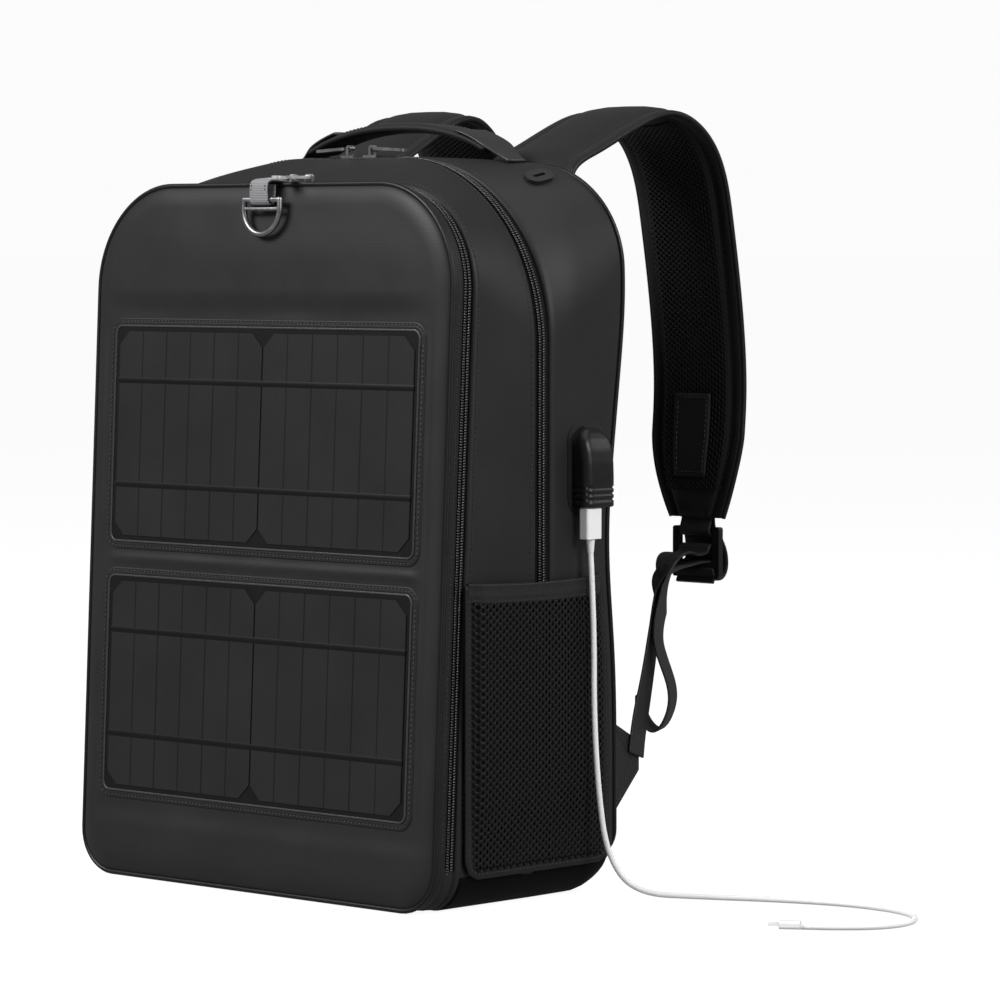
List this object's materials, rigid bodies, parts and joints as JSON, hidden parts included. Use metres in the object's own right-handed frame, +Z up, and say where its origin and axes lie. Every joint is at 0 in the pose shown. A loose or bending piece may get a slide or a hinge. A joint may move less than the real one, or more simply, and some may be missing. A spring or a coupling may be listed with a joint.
{
  "type": "solar backpack",
  "caption": "Boxy laptop backpack with solar panels on a fold-down front cover, twin shoulder straps, mesh side pockets and a charging port.",
  "frame": {"origin": "centre of the flat base, on the ground", "axes": "+Z up, -Y the front with the solar panels, +Y the back with the shoulder straps, +X the side with the charging port"},
  "size_m": [0.5294, 0.3125, 0.4719],
  "materials": {
    "shell_fabric": "matte coated twill",
    "piping": "satin",
    "panel_trim": "matte",
    "panel_backing": "satin film",
    "solar_cell": "textured laminate",
    "zip_teeth": "satin coil",
    "metal": "gunmetal",
    "ribbon": "woven",
    "lining": "matte",
    "pad_mesh": "open mesh",
    "strap_fabric": "matte",
    "webbing": "ribbed",
    "pocket_mesh": "open mesh",
    "elastic": "ribbed",
    "hard_plastic": "satin",
    "socket_metal": "plain",
    "rubber": "matte",
    "white_plastic": "satin",
    "white_cable": "satin"
  },
  "bodies": {
    "bag": {"audio_jack": "socket_metal", "back_board": "pad_mesh", "back_pads": "pad_mesh", "base_board": "lining", "compartment_divider": "lining", "earphone_outlet": "rubber", "front_gusset": "shell_fabric", "front_sill": "shell_fabric", "front_zip_bag_side": "zip_teeth", "handle_anchors": "strap_fabric", "laptop_sleeve": "lining", "lead_cable": "white_cable", "lead_connector": "white_plastic", "lead_plug": "white_plastic", "lumbar_pad": "pad_mesh", "main_zip_front_side": "zip_teeth", "main_zip_rear_side": "zip_teeth", "mesh_pocket_left": "pocket_mesh", "mesh_pocket_right": "pocket_mesh", "organiser_pockets": "lining", "pocket_hem_left": "elastic", "pocket_hem_right": "elastic", "port_flange": "hard_plastic", "port_hood": "hard_plastic", "power_bank_pocket": "lining", "rear_shell": "shell_fabric", "strap_anchor_left": "strap_fabric", "strap_anchor_right": "strap_fabric", "strap_yoke": "strap_fabric", "usb_socket": "socket_metal", "webbing_left": "webbing", "webbing_right": "webbing", "webbing_tail_left": "webbing", "webbing_tail_right": "webbing"},
    "front_cover": {"front_cover_shell": "shell_fabric", "cover_piping": "piping", "solar_frame_lower": "panel_trim", "solar_frame_upper": "panel_trim", "solar_sheet_lower": "panel_backing", "solar_sheet_upper": "panel_backing", "solar_cells_lower": "solar_cell", "solar_cells_upper": "solar_cell", "regulator_box": "hard_plastic", "junction_boxes": "hard_plastic", "front_zip_cover_side": "zip_teeth", "d_ring_ribbon": "ribbon"},
    "d_ring": {"d_ring": "metal"},
    "carry_handle": {"carry_handle": "strap_fabric"},
    "front_slider_left": {"front_slider_left": "metal"},
    "front_pull_left": {"front_pull_left": "metal"},
    "main_slider_left": {"main_slider_left": "metal"},
    "main_pull_left": {"main_pull_left": "metal"},
    "shoulder_strap_left": {"shoulder_strap_left": "strap_fabric"},
    "ladder_lock_left": {"ladder_lock_left": "hard_plastic"},
    "front_slider_right": {"front_slider_right": "metal"},
    "front_pull_right": {"front_pull_right": "metal"},
    "main_slider_right": {"main_slider_right": "metal"},
    "main_pull_right": {"main_pull_right": "metal"},
    "shoulder_strap_right": {"shoulder_strap_right": "strap_fabric"},
    "ladder_lock_right": {"ladder_lock_right": "hard_plastic"}
  },
  "joints": [
    {"name": "front_cover_hinge", "type": "hinge", "parent": "bag", "child": "front_cover", "pos_m": [0, -0.07906, 0.02], "axis": [1, 0, 0], "range_deg": [0, 80]},
    {"name": "d_ring_swing", "type": "hinge", "parent": "front_cover", "child": "d_ring", "pos_m": [0, -0.06609, 0.4138], "axis": [1, 0, 0], "range_deg": [-100, 6]},
    {"name": "handle_tip", "type": "hinge", "parent": "bag", "child": "carry_handle", "pos_m": [0, 0.06, 0.444], "axis": [1, 0, 0], "range_deg": [-20, 20], "stiffness_Nm_per_rad": 0.25},
    {"name": "front_slider_right_run", "type": "slide", "parent": "bag", "child": "front_slider_right", "axis": [1, 0, 0], "range_m": [0, 0.06]},
    {"name": "front_pull_right_flip", "type": "hinge", "parent": "front_slider_right", "child": "front_pull_right", "pos_m": [0.017, -0.04344, 0.42705], "axis": [1, 0, 0], "range_deg": [-150, 0]},
    {"name": "front_slider_left_run", "type": "slide", "parent": "bag", "child": "front_slider_left", "axis": [1, 0, 0], "range_m": [-0.075, 0]},
    {"name": "front_pull_left_flip", "type": "hinge", "parent": "front_slider_left", "child": "front_pull_left", "pos_m": [0.004, -0.04344, 0.42705], "axis": [0, 1, 0], "range_deg": [0, 100]},
    {"name": "main_slider_right_run", "type": "slide", "parent": "bag", "child": "main_slider_right", "axis": [1, 0, 0], "range_m": [0, 0.024]},
    {"name": "main_pull_right_flip", "type": "hinge", "parent": "main_slider_right", "child": "main_pull_right", "pos_m": [0.013, 0.0146, 0.4453], "axis": [0, 1, 0], "range_deg": [-100, 0]},
    {"name": "main_slider_left_run", "type": "slide", "parent": "bag", "child": "main_slider_left", "axis": [1, 0, 0], "range_m": [-0.03, 0]},
    {"name": "main_pull_left_flip", "type": "hinge", "parent": "main_slider_left", "child": "main_pull_left", "pos_m": [-0.006, 0.0146, 0.4453], "axis": [0, 1, 0], "range_deg": [0, 100]},
    {"name": "strap_left_swing", "type": "hinge", "parent": "bag", "child": "shoulder_strap_left", "pos_m": [-0.076, 0.0845, 0.431], "axis": [1, 0, 0], "range_deg": [-26, 8], "deforming": ["webbing_left", "webbing_tail_left"]},
    {"name": "ladder_lock_left_tilt", "type": "hinge", "parent": "shoulder_strap_left", "child": "ladder_lock_left", "pos_m": [-0.0915, 0.2265, 0.208], "axis": [1, 0, 0], "range_deg": [-25, 25]},
    {"name": "strap_right_swing", "type": "hinge", "parent": "bag", "child": "shoulder_strap_right", "pos_m": [0.076, 0.0845, 0.431], "axis": [1, 0, 0], "range_deg": [-26, 8], "deforming": ["webbing_right", "webbing_tail_right"]},
    {"name": "ladder_lock_right_tilt", "type": "hinge", "parent": "shoulder_strap_right", "child": "ladder_lock_right", "pos_m": [0.0915, 0.2265, 0.208], "axis": [1, 0, 0], "range_deg": [-25, 25]}
  ]
}
